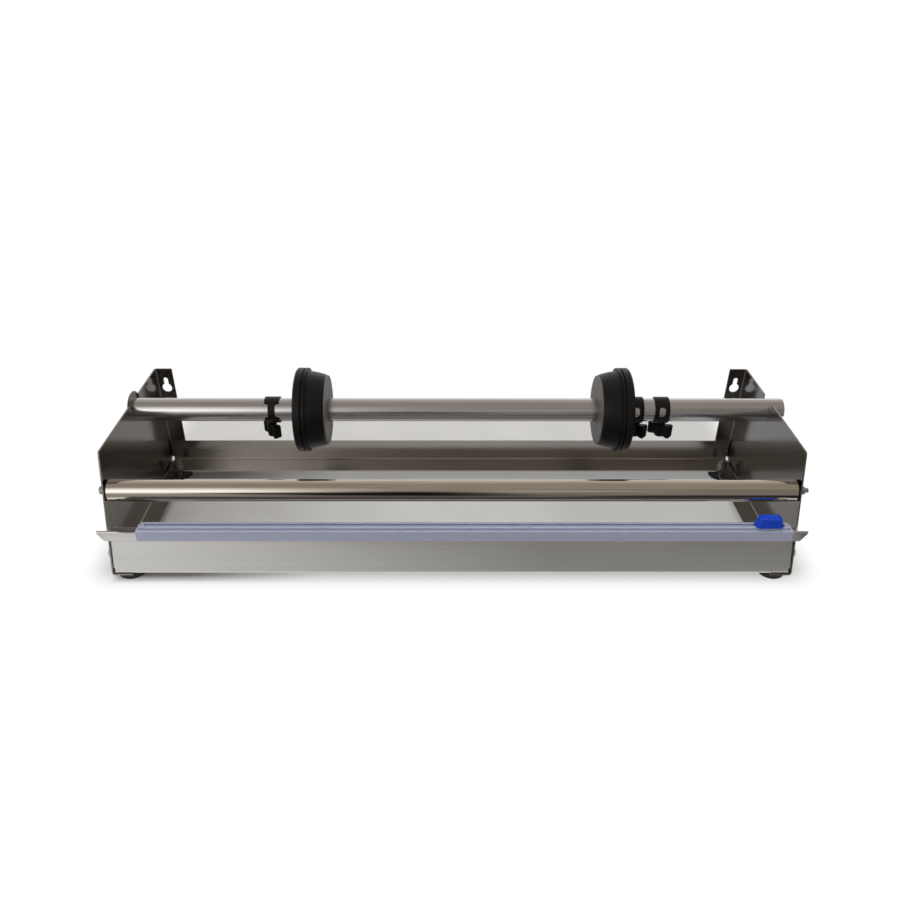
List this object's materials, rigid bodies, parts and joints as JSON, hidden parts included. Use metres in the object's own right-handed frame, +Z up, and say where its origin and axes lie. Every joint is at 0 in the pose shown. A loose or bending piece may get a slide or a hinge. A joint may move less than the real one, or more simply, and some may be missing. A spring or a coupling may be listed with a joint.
{
  "type": "stretch film dispenser",
  "caption": "Counter or wall dispenser for stretch film: bent steel frame, lift-out shaft with sliding core cones, turning guide roller, and a slide cutter along the front lip.",
  "frame": {"origin": "middle of the footprint, on the surface that the feet stand on", "axes": "+X along the shaft towards its open end, +Y from the cutter to the wall side, +Z up"},
  "size_m": [0.7035, 0.218, 0.166],
  "materials": {
    "side_steel": "brushed",
    "front_steel": "fine brushed",
    "clear_cutter": "clear, faintly violet",
    "slider_blue": "glossy",
    "blade_steel": "ground",
    "shaft_steel": "satin",
    "roller_chrome": "mirror",
    "cone_black": "satin",
    "cone_disc": "satin",
    "collar_black": "satin",
    "fastener_steel": "zinc plated",
    "bearing_plastic": "plain",
    "foot_rubber": "matt"
  },
  "bodies": {
    "frame": {"left_side_plate": "side_steel", "right_side_plate": "side_steel", "rear_rail": "side_steel", "front_rail": "front_steel", "cutter_strip": "clear_cutter", "cutter_track": "clear_cutter", "cutter_end_stops": "clear_cutter", "roller_spacers": "bearing_plastic", "roller_axle": "fastener_steel", "axle_washers": "fastener_steel", "axle_nuts": "fastener_steel", "front_rail_screws": "fastener_steel", "front_rail_nuts": "fastener_steel", "front_left_foot": "foot_rubber", "front_right_foot": "foot_rubber", "rear_left_foot": "foot_rubber", "rear_right_foot": "foot_rubber", "foot_screws": "fastener_steel", "foot_washers": "fastener_steel", "foot_nuts": "fastener_steel"},
    "roll_shaft": {"roll_shaft": "shaft_steel", "shaft_end_cap": "shaft_steel"},
    "left_collar": {"left_collar": "collar_black"},
    "inner_right_collar": {"inner_right_collar": "collar_black"},
    "outer_right_collar": {"outer_right_collar": "collar_black"},
    "left_wing_screw": {"left_wing_knob": "collar_black", "left_stud": "fastener_steel"},
    "inner_right_wing_screw": {"inner_right_wing_knob": "collar_black", "inner_right_stud": "fastener_steel"},
    "outer_right_wing_screw": {"outer_right_wing_knob": "collar_black", "outer_right_stud": "fastener_steel"},
    "left_cone": {"left_core_cone": "cone_black", "left_cone_face": "cone_disc"},
    "right_cone": {"right_core_cone": "cone_black", "right_cone_face": "cone_disc"},
    "guide_roller": {"guide_roller": "roller_chrome", "left_roller_plug": "bearing_plastic", "right_roller_plug": "bearing_plastic"},
    "cutter_slider": {"cutter_slider": "slider_blue", "cutter_blade": "blade_steel"}
  },
  "joints": [
    {"name": "shaft_lift", "type": "slide", "parent": "frame", "child": "roll_shaft", "axis": [0, 0, 1], "range_m": [0, 0.08]},
    {"name": "left_collar_slide", "type": "slide", "parent": "roll_shaft", "child": "left_collar", "axis": [1, 0, 0], "range_m": [-0.125, 0.125]},
    {"name": "inner_right_collar_slide", "type": "slide", "parent": "roll_shaft", "child": "inner_right_collar", "axis": [1, 0, 0], "range_m": [-0.125, 0]},
    {"name": "outer_right_collar_slide", "type": "slide", "parent": "roll_shaft", "child": "outer_right_collar", "axis": [1, 0, 0], "range_m": [0, 0.095]},
    {"name": "left_wing_screw_turn", "type": "hinge", "parent": "left_collar", "child": "left_wing_screw", "pos_m": [-0.1959, 0.034, 0.1], "axis": [0, 0, -1], "range_deg": [0, 450]},
    {"name": "inner_right_wing_screw_turn", "type": "hinge", "parent": "inner_right_collar", "child": "inner_right_wing_screw", "pos_m": [0.2008, 0.034, 0.1], "axis": [0, 0, -1], "range_deg": [0, 450]},
    {"name": "outer_right_wing_screw_turn", "type": "hinge", "parent": "outer_right_collar", "child": "outer_right_wing_screw", "pos_m": [0.2284, 0.034, 0.1], "axis": [0, 0, -1], "range_deg": [0, 450]},
    {"name": "left_cone_spin", "type": "hinge", "parent": "left_collar", "child": "left_cone", "pos_m": [-0.15, 0.034, 0.121], "axis": [1, 0, 0], "continuous": true},
    {"name": "right_cone_spin", "type": "hinge", "parent": "inner_right_collar", "child": "right_cone", "pos_m": [0.17, 0.034, 0.121], "axis": [1, 0, 0], "continuous": true},
    {"name": "guide_roller_spin", "type": "hinge", "parent": "frame", "child": "guide_roller", "pos_m": [0, -0.0769, 0.0915], "axis": [1, 0, 0], "continuous": true},
    {"name": "cutter_slide", "type": "slide", "parent": "frame", "child": "cutter_slider", "axis": [1, 0, 0], "range_m": [-0.6, 0.004]}
  ]
}
